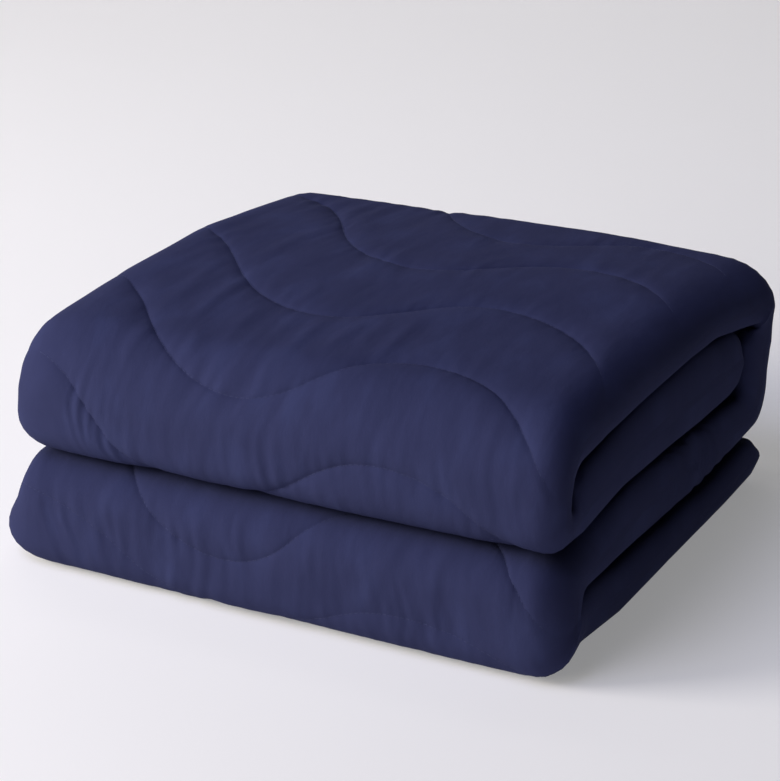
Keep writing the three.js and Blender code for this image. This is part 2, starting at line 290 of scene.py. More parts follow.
@dataclass
class ClothPath:
    """The path of the cloth strip through the stack, as stations along it.

    The along coordinate is measured on the face that shows: the under face up to the middle layer
    and the over face from there on. An arc at a bend takes at most a share of the shorter run
    beside it.
    """

    bends: tuple[Bend, ...] = BENDS
    arc_share_of_run: float = 0.49
    run_steps: int = 8
    arc_steps: int = 24
    end_steps: int = 8
    loose_reach: float = 15.0
    tucked_reach: float = 14.0
    end_thinnest: float = 0.12
    squareness: float = 2.4
    middle_bend: int = 6
    along: np.ndarray = field(init=False)
    under: np.ndarray = field(init=False)
    over: np.ndarray = field(init=False)
    widths: np.ndarray = field(init=False)

    def __post_init__(self) -> None:
        """Lays both faces through their bends and measures the cloth along them."""
        under = self._face(np.array([bend.under for bend in self.bends], float))
        over = self._face(np.array([bend.over for bend in self.bends], float))
        steps = self.run_steps + self.arc_steps
        place = np.arange(len(self.bends)) * steps - self.arc_steps / 2
        place[0], place[-1] = 0, len(under) - 1
        station = np.arange(len(under))
        bend = np.interp(station, place, np.arange(len(place)))
        over_shows = np.clip(bend - self.middle_bend, 0, 1)
        first = self._end(under[:2], over[:2], self.loose_reach)
        last = self._end(under[:-3:-1], over[:-3:-1], self.tucked_reach)
        pad = (self.end_steps, self.end_steps)
        self.under = np.concatenate([first[0][::-1], under, last[0]])
        self.over = np.concatenate([first[1][::-1], over, last[1]])
        shows = np.pad(over_shows, pad, mode="edge")[1:]
        step_under = np.linalg.norm(np.diff(self.under, axis=0), axis=1)
        step_over = np.linalg.norm(np.diff(self.over, axis=0), axis=1)
        step = step_under + (step_over - step_under) * shows
        self.along = np.concatenate([[0.0], np.cumsum(step)])
        at_bends = np.interp(place, station, self.along[self.end_steps : -self.end_steps])
        sizes = zip(*[(*bend.right, *bend.left) for bend in self.bends])
        self.widths = np.stack([np.interp(self.along, at_bends, size) for size in sizes], -1)

    @property
    def length(self) -> float:
        """Length of the cloth strip, in millimetres."""
        return float(self.along[-1])

    def squared(self, value: np.ndarray) -> np.ndarray:
        """Squares off a sine or cosine: its size is raised to 2 over the squareness."""
        return np.sign(value) * np.abs(value) ** (2.0 / self.squareness)

    def _face(self, corners: np.ndarray) -> np.ndarray:
        """Lays one face through its corners.

        The line is straight between two corners. At a corner it is the arc that touches both lines,
        with a smaller radius where the shorter line leaves no room for it.

        Args:
            corners: One row (y, z, radius) for each corner.

        Returns:
            The points (y, z), with the same number of steps in each run and each arc.
        """
        at, radius = corners[:, :2], corners[1:-1, 2]
        before, after = at[:-2] - at[1:-1], at[2:] - at[1:-1]
        long_before = np.linalg.norm(before, axis=1)
        long_after = np.linalg.norm(after, axis=1)
        before /= long_before[:, None]
        after /= long_after[:, None]
        half = np.arccos(np.clip((before * after).sum(1), -1.0, 1.0)) / 2
        room = self.arc_share_of_run * np.minimum(long_before, long_after)
        reach = np.minimum(radius / np.maximum(np.tan(half), NEVER_ZERO), room)
        way = before + after
        way /= np.maximum(np.linalg.norm(way, axis=1), NEVER_ZERO)[:, None]
        centre = at[1:-1] + way * (reach * np.tan(half) / np.sin(half))[:, None]
        first = at[1:-1] + before * reach[:, None] - centre
        last = at[1:-1] + after * reach[:, None] - centre
        cross = first[:, 0] * last[:, 1] - first[:, 1] * last[:, 0]
        turn = np.arctan2(cross, (first * last).sum(1))
        angle = turn[:, None] * np.linspace(0.0, 1.0, self.arc_steps + 1)
        cosine, sine = np.cos(angle), np.sin(angle)
        y = first[:, :1] * cosine - first[:, 1:] * sine
        z = first[:, :1] * sine + first[:, 1:] * cosine
        arcs = centre[:, None] + np.stack([y, z], -1)
        starts = np.concatenate([at[:1], arcs[:, -1]])
        ends = np.concatenate([arcs[:, 0], at[-1:]])
        share = np.arange(1, self.run_steps + 1)[:, None] / self.run_steps
        runs = starts[:, None] + (ends - starts)[:, None] * share
        middle = np.concatenate([runs[:-1], arcs[:, 1:]], axis=1).reshape(-1, 2)
        return np.concatenate([at[:1], middle, runs[-1]])

    def _end(
        self, under: np.ndarray, over: np.ndarray, reach: float
    ) -> tuple[np.ndarray, np.ndarray]:
        """Draws one end of the cloth together in a rounded edge: a quarter of a squared ellipse.

        Args:
            under: The last point of the under face and the one before it.
            over: The same for the over face.
            reach: How far the edge stands out.

        Returns:
            The points of the under face and of the over face, outwards.
        """
        middle, inner = (under + over) / 2
        outward = (middle - inner) / np.linalg.norm(middle - inner)
        angle = np.linspace(0.0, math.pi / 2, self.end_steps + 1)[1:, None]
        thick = np.maximum(self.squared(np.cos(angle)), self.end_thinnest)
        shift = middle + outward * reach * self.squared(np.sin(angle))
        return shift + (under[0] - middle) * thick, shift + (over[0] - middle) * thick

    def at(self, along: np.ndarray) -> tuple[np.ndarray, ...]:
        """Both faces and the two side edges at any length along the cloth.

        Args:
            along: Lengths along the cloth.

        Returns:
            under (y, z), over (y, z), and the three sizes of the right and of the left edge, all by
            linear interpolation.
        """
        columns = np.concatenate([self.under, self.over, self.widths], axis=1).T
        value = np.stack([np.interp(along, self.along, column) for column in columns])
        under, over = np.moveaxis(value[:2], 0, -1), np.moveaxis(value[2:4], 0, -1)
        return under, over, value[4:7], value[7:]


@dataclass
class Quilting:
    """The seams sewn through all plies, all in one wave that drifts along the cloth.

    Each lies in a wide channel, with a narrow crease where the thread draws the cloth in. Only a
    share of their depth is kept on the rolls, from a little way round them on.
    """

    length: float
    seams: tuple[Seam, ...] = SEAMS
    wave_length: float = 420.0
    wave_start: float = -49.5
    softness: float = 0.81
    channel_depth: float = 3.2
    channel_reach: float = 34.0
    crease_depth: float = 0.45
    crease_reach: float = 2.6
    kept_on_rolls: float = 0.12
    fades_by: float = 0.45
    arc_reach: int = 320
    lines: np.ndarray = field(init=False)

    def __post_init__(self) -> None:
        """Puts the seams in one array, with the straight far end of the cloth as its last line."""
        far_end = Seam(self.length, 0, 0, 0, 0)
        self.lines = np.array([astuple(seam) for seam in (*self.seams, far_end)], float)

    def line_at(self, line: np.ndarray, x: np.ndarray) -> tuple[np.ndarray, np.ndarray]:
        """Where seams cross a place across the cloth.

        A seam lies at along + swing * w(x - shift) + drift * x. Its wave w is c over the root of
        c^2 + q^2 s^2, where c and s are the cosine and sine of its phase, and q is its softness.

        Args:
            line: Index of the seam for each point.
            x: Place across the cloth, in millimetres.

        Returns:
            The length along the cloth there, and its slope against x.
        """
        along, swing, shift, drift, _ = np.moveaxis(self.lines[line], -1, 0)
        phase = 2.0 * math.pi * (x - shift - self.wave_start) / self.wave_length
        size = np.hypot(np.cos(phase), self.softness * np.sin(phase))
        wave = np.cos(phase) / size
        rise = -self.softness**2 * np.sin(phase) / size**3
        slope = swing * rise * 2.0 * math.pi / self.wave_length + drift
        return along + swing * wave + drift * x, slope

    def arc(self, line: np.ndarray, x: np.ndarray) -> np.ndarray:
        """Length along each seam from its left end: the running sum of its steps across the cloth.

        Args:
            line: Index of the seam for each point.
            x: Place across the cloth, in millimetres.

        Returns:
            The length in millimetres, read between the sums beside the place.
        """
        across = np.arange(-self.arc_reach, self.arc_reach + 1, dtype=float)
        slope = self.line_at(np.arange(len(self.lines))[:, None], across[None, :])[1]
        sums = np.cumsum(np.hypot(1.0, slope), axis=1)
        place = np.clip(x + self.arc_reach, 0, 2 * self.arc_reach - 1)
        before = np.floor(place).astype(int)
        return sums[line, before] + (place - before) * (sums[line, before + 1] - sums[line, before])

    def depth(self, line: np.ndarray, distance: np.ndarray, out: np.ndarray) -> np.ndarray:
        """How deep the face lies at a distance from a seam.

        A wide valley, falling with the cube of the share of its reach, and in it a narrow crease,
        falling as a bell curve. Both fade on the rolls, where the folded plies fill them out.

        Args:
            line: Index of the seam for each point.
            distance: Distance from it, in millimetres.
            out: How far round a roll each point lies, from 0 to 1.

        Returns:
            The depth of each point, in millimetres.
        """
        valley = self.channel_depth * np.maximum(1.0 - distance / self.channel_reach, 0.0) ** 3
        crease = self.crease_depth * np.exp(-((distance / self.crease_reach) ** 2))
        kept = 1.0 - (1.0 - self.kept_on_rolls) * smooth(0.0, self.fades_by, out)
        return self.lines[line, -1] * (valley + crease) * kept


class Face(Enum):
    """The face of the cloth that shows on a stretch of it."""

    UNDER = -1
    OVER = 1


# face, across and out of points round the cloth's section, as FoldedStack.ring gives them
Ring = tuple[np.ndarray, np.ndarray, np.ndarray]


@dataclass
class FoldedStack:
    """The folded duvet as one closed surface of two parameters, along the cloth and round it.

    most_of_cloth is the most of the half thickness that the quilting takes. The fields from
    roll_lowered to lean say how the stack has settled, as in the part's own source.
    """

    path: ClothPath = field(default_factory=ClothPath)
    width: float = 550.0
    most_of_cloth: float = 0.4
    roll_lowered: float = 0.45
    crown: float = 14.0
    sag_right: float = 6.6
    rise_left: float = 5.0
    level_middle: float = 0.1
    tilt_right: float = 6.0
    bow_front: float = 1.5
    bow_back: float = 12.5
    lean: float = 1.6
    middle: tuple[float, float] = MIDDLE

    def ring(self, turn: np.ndarray) -> Ring:
        """A point of the cloth's section by its turn round it.

        Turns 0 to 1 run over the over face to the right, 1 to 2 down the right roll, 2 to 3 back
        along the under face and 3 to 4 up the left roll. A roll is half a squared circle.

        Args:
            turn: The turn of each point, from 0 to 4.

        Returns:
            face, from 1 on the over face to -1 on the under face; across, from -1 at the left roll
            to 1 at the right; out, from 0 on the flats to 1 or -1 outside the rolls.
        """
        side = np.floor(turn).astype(int) % 4
        share = turn - np.floor(turn)
        cosine = self.path.squared(np.cos(math.pi * share))
        sine = self.path.squared(np.sin(math.pi * share))
        level, one = 2.0 * share - 1.0, np.ones_like(share)
        face = np.choose(side, [one, cosine, -one, -cosine])
        across = np.choose(side, [level, one, -level, -one])
        out = np.choose(side, [0.0 * one, sine, 0.0 * one, -sine])
        return face, across, out

    def across(
        self, along: np.ndarray, ring: Ring, sunk: float | np.ndarray = 0.0
    ) -> np.ndarray:
        """Place of points across the cloth, from its left edge to its right.

        A flat reaches to the half width less the roll, and a roll stands out from there.

        Args:
            along: Length along the cloth of each point.
            ring: face, across and out of each point.
            sunk: How deep the quilting draws the point in.

        Returns:
            The places, in millimetres.
        """
        face, across, out = ring
        edges = self.path.at(along)[2:]
        rolls = [np.where(face > 0, edge[2], edge[1]) for edge in edges]
        right, left = (edge[0] - roll for edge, roll in zip(edges, rolls))
        roll = np.where(across > 0, *rolls)
        return (right - left) / 2 + (right + left) / 2 * across + (roll - sunk) * out

    def place(self, along: np.ndarray, ring: Ring, sunk: np.ndarray) -> np.ndarray:
        """Puts points of the cloth where they lie in the settled stack.

        A point is the middle between the two faces plus face times half of what lies between them,
        both less what the quilting takes, and then moved as the whole stack has settled. Where the
        over roll is deeper than the under roll, the edge bulges lower.

        Args:
            along: Length along the cloth of each point.
            ring: face, across and out of each point.
            sunk: How deep the quilting draws the point in.

        Returns:
            The points, in millimetres, in the part's frame.
        """
        face, across, out = ring
        under, over, right, left = self.path.at(along)
        centre, half = (under + over) / 2, (over - under) / 2
        thick = np.linalg.norm(half, axis=-1)
        sunk = np.minimum(sunk, self.most_of_cloth * thick)
        under_roll, over_roll = (np.where(across > 0, right[i], left[i]) for i in (1, 2))
        lowered = self.roll_lowered * (over_roll - under_roll) / (over_roll + under_roll)
        bulged = face - lowered * (1 - face**2)
        yz = centre + half * (bulged * (1.0 - sunk / thick))[..., None]
        x = self.across(along, ring, sunk)
        return self._settle(np.stack([x, yz[..., 0], yz[..., 1]], -1))

    def _settle(self, point: np.ndarray) -> np.ndarray:
        """Settles the stack.

        It is crowned with 1 less the square of the depth, tilted evenly, lower at the right end and
        higher at the left with the square of the way past its level middle, bowed at front and back
        with 1 less the square of the side, and leans back. All of it but the bow grows with the
        height.
        """
        x, y, z = np.moveaxis(point, -1, 0)
        lift, side, depth = z / TOP_FRONT, x / (self.width / 2), y / -FRONT_HIGH
        end = np.maximum((np.abs(side) - self.level_middle) / (1 - self.level_middle), 0.0) ** 2
        ends = np.where(side > 0, -self.sag_right, self.rise_left) * end
        most_bow = np.where(depth > 0, self.bow_back, self.bow_front)
        bow = (1 - side**2) * np.clip(depth, -1, 1) * most_bow
        rise = lift * (self.crown * (1 - depth**2) + ends + self.tilt_right * side)
        settled_y = y + self.lean * lift + bow
        return np.stack([x - self.middle[0], settled_y - self.middle[1], z + rise], -1)


# Finishes


def linear(colour: str) -> tuple[float, float, float, float]:
    """Turns an sRGB colour, written as six hex digits, to linear red, green, blue and alpha 1.

    A dark value, to 0.04045, is divided by 12.92. A lighter one plus 0.055 is divided by 1.055 and
    raised to 2.4.
    """
    parts = [int(colour[i : i + 2], 16) / 255 for i in (0, 2, 4)]
    return (*(p / 12.92 if p <= 0.04045 else ((p + 0.055) / 1.055) ** 2.4 for p in parts), 1.0)


def add(
    material: bpy.types.Material,
    kind: str,
    settings: dict[str, object] | None = None,
    links: dict[str | int, bpy.types.NodeSocket] | None = None,
) -> bpy.types.Node:
    """Adds one node to a material.

    Args:
        material: The material.
        kind: Blender's name for the kind of node, without its ShaderNode start.
        settings: Values by name, for the node's own properties and for its input sockets.
        links: Output sockets by the name or number of the input that they feed.

    Returns:
        The node.
    """
    node = material.node_tree.nodes.new("ShaderNode" + kind)
    for name, value in (settings or {}).items():
        if hasattr(node, name):
            setattr(node, name, value)
        else:
            node.inputs[name].default_value = value
    for name, socket in (links or {}).items():
        material.node_tree.links.new(socket, node.inputs[name])
    return node


def new_material(name: str) -> bpy.types.Material:
    """Makes an empty material with nodes."""
    material = bpy.data.materials.new(name)
    material.use_nodes = True
    material.node_tree.nodes.clear()
    return material


@dataclass(frozen=True)
class BrushedMicrofibre:
    """Brushed polyester microfibre, plain woven from fine matte threads and then napped.

    The nap gives the eye a soft, shineless face that lightens a little where it is seen from the
    side, and cloudy patches where it lies this way or that. Threads, crumples and patches are drawn
    out along the cloth, with the filling.
    """

    base: str = "2f3251"
    brushed_up: str = "323657"
    pressed_down: str = "2d304e"
    drawn_out: float = 0.45
    thread_mm: float = 1.4  # real threads, about 0.15 mm, are too fine to show, so they are coarser
    thread_height_mm: float = 0.2
    nap_patch_mm: float = 38.0  # a hand turns the nap over in patches a few centimetres wide
    crumple_mm: float = 9.0  # light cloth crumples between stitches at about this spacing
    crumple_height_mm: float = 1.1
    roughness: float = 0.95
    specular: float = 0.03
    sheen: float = 0.01
    sheen_roughness: float = 0.45
    sheen_tint: str = "aeb4e6"

    def material(self) -> bpy.types.Material:
        """Builds the material, on the cloth's own UV map, which is in metres along the threads."""
        made = new_material("brushed_microfibre")
        cloth = add(made, "UVMap", {"uv_map": "cloth"}).outputs["UV"]
        drawn = add(made, "Mapping", {"Scale": (1.0, self.drawn_out, 1.0)}, {"Vector": cloth})
        place = {"Vector": drawn.outputs["Vector"]}
        sizes = {"Scale": 1 / (self.nap_patch_mm * MM), "Detail": 3.0, "Roughness": 0.55}
        patch = add(made, "TexNoise", sizes, place)
        colour = add(made, "ValToRGB", {}, {"Fac": patch.outputs["Fac"]})
        ramp = colour.color_ramp
        ramp.elements[0].position, ramp.elements[0].color = 0.3, linear(self.pressed_down)
        ramp.elements[1].position, ramp.elements[1].color = 0.7, linear(self.brushed_up)
        ramp.elements.new(0.5).color = linear(self.base)
        sizes = {"Scale": 1 / (self.crumple_mm * MM), "Detail": 2.0, "Roughness": 0.5}
        crumple = add(made, "TexNoise", sizes, place)
        sizes = {"Scale": 1 / (self.thread_mm * MM), "Detail": 1.0}
        thread = add(made, "TexNoise", sizes, place)
        soft = add(
            made,
            "Bump",
            {"Strength": 0.35, "Distance": self.crumple_height_mm * MM},
            {"Height": crumple.outputs["Fac"]},
        )
        nap = add(
            made,
            "Bump",
            {"Strength": 0.5, "Distance": self.thread_height_mm * MM},
            {"Height": thread.outputs["Fac"], "Normal": soft.outputs["Normal"]},
        )
        shader = add(
            made,
            "BsdfPrincipled",
            {
                "Roughness": self.roughness,
                "Specular IOR Level": self.specular,
                "Sheen Weight": self.sheen,
                "Sheen Roughness": self.sheen_roughness,
                "Sheen Tint": linear(self.sheen_tint),
            },
            {"Base Color": colour.outputs["Color"], "Normal": nap.outputs["Normal"]},
        )
        add(made, "OutputMaterial", {}, {"Surface": shader.outputs["BSDF"]})
        return made


@dataclass(frozen=True)
class SpunThread:
    """Spun polyester sewing thread, twisted from short fibres and dyed with the cloth.

    It catches a little more light than the brushed cloth, so a seam reads as a fine broken line.
    """

    # lit and shaded are one thread colour with painted highlight and painted shade, for the ridges
    # and grooves of its twist
    lit: str = "3a3f63"
    shaded: str = "2b2f4e"
    twist_mm: float = 0.9  # a real twist, about 0.4 mm, is too fine to show, so it is coarser
    roughness: float = 0.7
    specular: float = 0.2

    def material(self) -> bpy.types.Material:
        """Builds the material, with the twist as fine flecks of painted highlight and painted
        shade.
        """
        made = new_material("spun_thread")
        place = {"Vector": add(made, "TexCoord").outputs["Object"]}
        sizes = {"Scale": 1 / (self.twist_mm * MM), "Detail": 1.0}
        fleck = add(made, "TexNoise", sizes, place)
        colour = add(made, "ValToRGB", {}, {"Fac": fleck.outputs["Fac"]})
        ramp = colour.color_ramp
        ramp.elements[0].position, ramp.elements[0].color = 0.35, linear(self.shaded)
        ramp.elements[1].position, ramp.elements[1].color = 0.65, linear(self.lit)
        shader = add(
            made,
            "BsdfPrincipled",
            {"Roughness": self.roughness, "Specular IOR Level": self.specular},
            {"Base Color": colour.outputs["Color"]},
        )
        add(made, "OutputMaterial", {}, {"Surface": shader.outputs["BSDF"]})
        return made


@dataclass(frozen=True)
class MattePaper:
    """Matte white paper, calendered without a coating, so it is even and has no sheen.

    The light that a white room throws back onto it is drawn as a faint glow of its own.
    """

    white: str = "dad7d8"
    mottled: str = "d8d5d6"
    mottle_mm: float = 333.3  # slow unevenness of the sheet and of the light on it
    roughness: float = 0.95
    glow: float = 0.25

    def material(self) -> bpy.types.Material:
        """Builds the material, with a faint, wide mottle."""
        made = new_material("matte_paper")
        place = {"Vector": add(made, "TexCoord").outputs["Object"]}
        sizes = {"Scale": 1 / (self.mottle_mm * MM), "Detail": 2.0}
        mottle = add(made, "TexNoise", sizes, place)
        colour = add(made, "ValToRGB", {}, {"Fac": mottle.outputs["Fac"]})
        ramp = colour.color_ramp
        ramp.elements[0].color, ramp.elements[1].color = linear(self.mottled), linear(self.white)
        shader = add(
            made,
            "BsdfPrincipled",
            {
                "Roughness": self.roughness,
                "Emission Color": linear("ffffff"),
                "Emission Strength": self.glow,
            },
            {"Base Color": colour.outputs["Color"]},
        )
        add(made, "OutputMaterial", {}, {"Surface": shader.outputs["BSDF"]})
        return made


# The duvet's cover


def mesh_object(
    name: str, points: np.ndarray, faces: np.ndarray, material: bpy.types.Material
) -> bpy.types.Object:
    """Makes a smooth mesh object at the origin.

    Args:
        name: The object's name.
        points: Vertices, in metres.
        faces: Vertex numbers of each quad, with a triangle's last one repeated.
        material: Its material.

    Returns:
        The object, linked to the scene.
    """
    mesh = bpy.data.meshes.new(name)
    triangle = faces[:, 3] == faces[:, 2]
    corners = np.where(triangle, 3, 4)
    loops = faces[np.arange(4)[None, :] < corners[:, None]]
    mesh.vertices.add(len(points))
    mesh.vertices.foreach_set("co", points.astype(np.float32).ravel())
    mesh.loops.add(len(loops))
    mesh.loops.foreach_set("vertex_index", loops.astype(np.int32))
    mesh.polygons.add(len(faces))
    starts = np.concatenate([[0], np.cumsum(corners)[:-1]])
    mesh.polygons.foreach_set("loop_start", starts.astype(np.int32))
    mesh.polygons.foreach_set("use_smooth", np.ones(len(faces), bool))
    mesh.update(calc_edges=True)
    mesh.validate()
    mesh.materials.append(material)
    made = bpy.data.objects.new(name, mesh)
    bpy.context.scene.collection.objects.link(made)
    return made


@dataclass
class ClothGrid:
    """Points of the cover, in rows that follow the seams and columns that go round the cloth.

    point is the place in the stack, and x and along are the place on the cloth. face and out are as
    in FoldedStack.ring. seam is the distance to the nearest seam, and arc a length along that seam.
    """

    point: np.ndarray
    along: np.ndarray
    x: np.ndarray
    face: np.ndarray
    out: np.ndarray
    seam: np.ndarray
    arc: np.ndarray


@dataclass(frozen=True)
class SoftFolds:
    """The soft folds of the cloth over its filling, from noises that each have a seed of their own.

    Folds run along the cloth, bent by two broad noises. Each is a round ridge between two thin
    valleys. They gather in patches and near the seams. Short puckers cross each seam and fade as a
    bell curve beside it. A broad sway moves each channel. Where the cloth lies level its own weight
    smooths it, so its folds are lower and broader, and it is drawn together more on the left than
    on the right. The two faces of the cloth read the noises far apart. Sizes are in millimetres.
    """

    wide_bend: Ripples = Ripples((150.0, 130.0), 11, 16.0)
    near_bend: Ripples = Ripples((44.0, 52.0), 17, 4.0)
    narrow: Ripples = Ripples((19.0, 125.0), 12, rounding=0.02)
    fine: Ripples = Ripples((9.5, 52.0), 13, 0.34)
    broad: Ripples = Ripples((27.0, 150.0), 18, rounding=0.03)
    gather: Ripples = Ripples((90.0, 80.0), 14)
    pucker: Ripples = Ripples((11.5, 48.0), 15)
    sway: Ripples = Ripples((130.0, 95.0), 16, 1.2)
    height: float = 2.7
    least_gathered: float = 0.42
    gather_eases: tuple[float, float] = (-0.35, 0.45)
    between_seams: float = 0.7
    more_at_seams: float = 0.6
    seam_reach: float = 24.0
    level_share: float = 0.68
    level_right: float = 0.7
    level_more_left: float = 0.4
    level_eases: tuple[float, float] = (120.0, -120.0)
    pucker_height: float = 0.5
    pucker_reach: float = 21.0
    pucker_lost_level: float = 0.5
    faces_apart: float = 700.0
    drawn: tuple[DrawnFold, ...] = DRAWN_FOLDS

    def rise(self, grid: ClothGrid, level: np.ndarray) -> np.ndarray:
        """Height of the folds over the quilted face.

        Args:
            grid: The cover's grid.
            level: 1 where the face is level, 0 where it stands upright.

        Returns:
            The height of each point, in millimetres.
        """
        x, along, seam = grid.x, grid.along, grid.seam
        across = x + np.where(grid.face < 0, self.faces_apart, 0.0)
        bent = across + self.wide_bend.at(across, along)
        bent = bent + self.near_bend.at(across, along)
        narrow = self.narrow.ridges(bent, along) + self.fine.at(bent, along)
        broad = self.broad.ridges(bent, along)
        gathered = smooth(*self.gather_eases, self.gather.at(across, along))
        gathered = self.least_gathered + (1 - self.least_gathered) * gathered
        beside = np.exp(-((seam / self.seam_reach) ** 2))
        beside = self.between_seams + self.more_at_seams * beside
        to_left = self.level_right + self.level_more_left * smooth(*self.level_eases, x)
        levelled = self.level_share * level * to_left
        height = self.height * gathered * beside * ((1 - level) * narrow + levelled * broad)
        pucker = self.pucker.at(grid.arc, seam) * np.exp(-((seam / self.pucker_reach) ** 2))
        kept = self.pucker_height * (1 - self.pucker_lost_level * level)
        height = height + kept * pucker + self.sway.at(across, along)
        return height + sum(fold.height(x, along) for fold in self.drawn)


@dataclass
class DuvetCover:
    """The duvet's closed cover, with its filling: faces, rolled sides, seams and soft folds.

    turn_over is the stretch of cloth over which the dense columns pass from its under to its over
    face. over_shows and under_shows are where each face comes into view, is in full view, begins to
    leave it and has left it. Rows lie at near_seam from both seams of a shown channel and a
    shown_step apart between them, and a hidden channel has rows of its own in the same way.
    """

    stack: FoldedStack
    quilting: Quilting
    finish: BrushedMicrofibre
    dense_columns: int = 168
    sparse_columns: int = 16
    roll_columns: int = 15
    turn_over: tuple[float, float] = (800.0, 1060.0)
    over_shows: tuple[float, ...] = (1110.0, 1150.0, 1960.0, 2010.0)
    under_shows: tuple[float, ...] = (380.0, 410.0, 700.0, 740.0)
    shown_channels: tuple[int, ...] = (3, 4, 5, 8, 9, 10, 11, 12, 13, 14)
    near_seam: tuple[float, ...] = (0.0, 0.9, 1.9, 3.2, 5.2, 8.0, 11.5, 16.0)
    near_hidden: tuple[float, ...] = (0.0, 3.0, 9.0)
    shown_step: float = 4.6
    hidden_step: float = 20.0
    face_eases: tuple[float, float] = (-0.2, 0.6)
    rolls_take: float = 0.5
    seams_apart: float = 100.0
    folds: SoftFolds = SoftFolds()
    grid: ClothGrid | None = field(default=None, init=False)

    def _turns(self, dense: Face) -> np.ndarray:
        """Turns round the section for each column, close together on one face."""
        over = self.dense_columns if dense is Face.OVER else self.sparse_columns
        under = self.sparse_columns if dense is Face.OVER else self.dense_columns
        counts = (over, self.roll_columns, under, self.roll_columns)
        turns = [side + np.arange(count) / count for side, count in enumerate(counts)]
        return np.concatenate(turns)

    def _rows(self) -> tuple[np.ndarray, np.ndarray]:
        """Channel and share of it for each row: on the seam, close beside it and evenly between."""
        channels, shares = [], []
        for channel, gap in enumerate(np.diff(self.quilting.lines[:, 0])):
            shown = channel in self.shown_channels
            near = np.array(self.near_seam if shown else self.near_hidden)
            step = self.shown_step if shown else self.hidden_step
            count = max(int((gap - 2 * near[-1]) / step), 1)
            between = near[-1] + (gap - 2 * near[-1]) * np.arange(1, count) / count
            row = np.concatenate([near, between, gap - near[:0:-1]]) / gap
            channels.append(np.full(len(row), channel))
            shares.append(row)
        channels.append(np.array([len(self.quilting.lines) - 2]))
        shares.append(np.array([1.0]))
        return np.concatenate(channels), np.concatenate(shares)

    def _grid(self) -> ClothGrid:
        """Works out the cover's grid before its folds.

        A row is a fixed share of the way from one seam to the next at every place across the cloth,
        so that it bends from the wave of the one into the wave of the other. Lengths along a seam
        begin seams_apart from those along the next, so that each has puckers of its own.
        """
        channel, share = self._rows()
        lines = self.quilting.lines[:, 0]
        nominal = lines[channel] + share * (lines[channel + 1] - lines[channel])
        blend = smooth(*self.turn_over, nominal)[:, None]
        turn = (1 - blend) * self._turns(Face.UNDER) + blend * self._turns(Face.OVER)
        ring = self.stack.ring(turn)
        x = self.stack.across(np.broadcast_to(nominal[:, None], turn.shape), ring)
        channel, share = np.broadcast_to(channel[:, None], x.shape), share[:, None]
        low, low_slope = self.quilting.line_at(channel, x)
        high, high_slope = self.quilting.line_at(channel + 1, x)
        along = low + share * (high - low)
        to_low = share * (high - low) / np.hypot(1.0, low_slope)
        to_high = (1 - share) * (high - low) / np.hypot(1.0, high_slope)
        out = np.abs(ring[2])
        sunk = np.maximum(
            self.quilting.depth(channel, to_low, out),
            self.quilting.depth(channel + 1, to_high, out),
        )
        nearest = channel + (to_high < to_low)
        return ClothGrid(
            point=self.stack.place(along, ring, sunk),
            along=along,
            x=x,
            face=ring[0],
            out=ring[2],
            seam=np.minimum(to_low, to_high),
            arc=self.quilting.arc(nearest, x) + self.seams_apart * nearest,
        )

    def _normals(self, point: np.ndarray) -> np.ndarray:
        """Unit normals of the grid, from the differences along and round the cloth."""
        along = np.gradient(point, axis=0)
        around = np.roll(point, -1, axis=1) - np.roll(point, 1, axis=1)
        normal = np.cross(around, along)
        return normal / np.maximum(np.linalg.norm(normal, axis=-1, keepdims=True), NEVER_ZERO)

    def _shown(self, grid: ClothGrid) -> np.ndarray:
        """How much of the folds each point takes: 1 on the faces in view, 0 between the layers."""

        def stretch(comes: float, full: float, leaves: float, gone: float) -> np.ndarray:
            """1 where the cloth is in full view, eased to 0 at the ends of the stretch."""
            return smooth(comes, full, grid.along) * smooth(gone, leaves, grid.along)

        over = stretch(*self.over_shows) * smooth(*self.face_eases, grid.face)
        under = stretch(*self.under_shows) * smooth(*self.face_eases, -grid.face)
        return np.maximum(np.maximum(over, under), self.rolls_take * np.abs(grid.out))

    def _faces(self, rows: int, columns: int) -> np.ndarray:
        """Quads of the closed grid, and a fan that closes the flat ring at each end.

        Args:
            rows: Rows of the grid.
            columns: Points in a row.

        Returns:
            The vertex numbers. The middles of the first and the last ring come after the grid.
        """
        i, j = np.meshgrid(np.arange(rows - 1), np.arange(columns), indexing="ij")
        start, k = i * columns, (j + 1) % columns
        quads = np.stack([start + j, start + columns + j, start + columns + k, start + k], -1)
        ring = np.arange(columns)
        following = np.roll(ring, -1)
        last = (rows - 1) * columns
        middle = np.full(columns, rows * columns)
        fans = [
            np.stack([ring, following, middle, middle], -1),
            np.stack([last + following, last + ring, middle + 1, middle + 1], -1),
        ]
        return np.concatenate([quads.reshape(-1, 4), *fans])

    def seam_path(
        self, seam: int, face: Face, round_the_rolls: float
    ) -> tuple[np.ndarray, np.ndarray]:
        """The finished surface along one seam, from roll to roll.

        Args:
            seam: Index of the seam.
            face: The face of the cloth.
            round_the_rolls: How far round them it goes, from 0 to 1.

        Returns:
            The points, in millimetres, and the unit normals there.
        """
        channel, share = self._rows()
        row = np.flatnonzero((channel == seam) & (share == 0))[0]
        on_face = self.grid.face[row] * face.value > 0
        columns = np.flatnonzero(on_face & (np.abs(self.grid.out[row]) < round_the_rolls))
        columns = columns[np.argsort(self.grid.x[row, columns])]
        return self.grid.point[row, columns], self._normals(self.grid.point)[row, columns]

